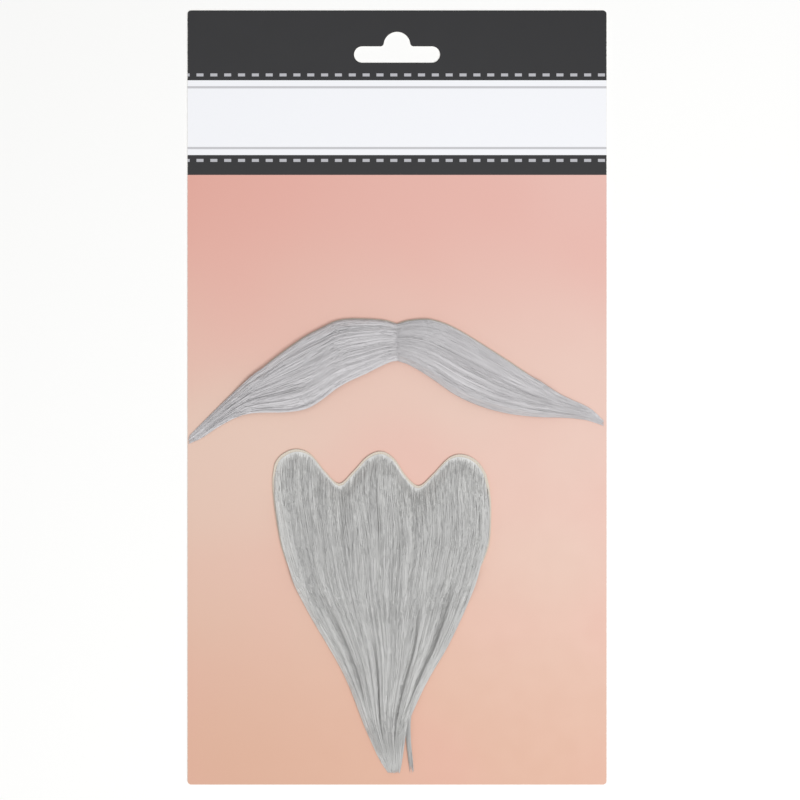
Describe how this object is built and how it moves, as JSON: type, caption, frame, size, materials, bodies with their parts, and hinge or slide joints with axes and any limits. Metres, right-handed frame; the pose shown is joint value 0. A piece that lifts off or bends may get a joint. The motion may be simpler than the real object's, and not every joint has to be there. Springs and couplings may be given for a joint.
{
  "type": "fake moustache and goatee on a hanging card",
  "caption": "Grey costume moustache and matching goatee of combed synthetic hair on knitted backings, stuck flat to a plain hanging card with a shop-hook slot.",
  "frame": {"origin": "middle of the card's back, on the surface that the card lies on", "axes": "+X across the card, +Y up the card towards its hanging slot, +Z out of the card's face"},
  "size_m": [0.156, 0.288, 0.0072],
  "materials": {
    "printed_card": "printed coated board, satin",
    "knitted_cloth": "fine cream knit, matt",
    "moustache_fibre": "combed synthetic fibre, light silver grey, soft sheen",
    "goatee_fibre": "combed synthetic fibre, silver grey, soft sheen"
  },
  "bodies": {
    "root": {"card": "printed_card", "moustache_backing": "knitted_cloth", "moustache_hair_left": "moustache_fibre", "moustache_hair_right": "moustache_fibre", "goatee_backing": "knitted_cloth", "goatee_hair": "goatee_fibre"}
  },
  "joints": []
}
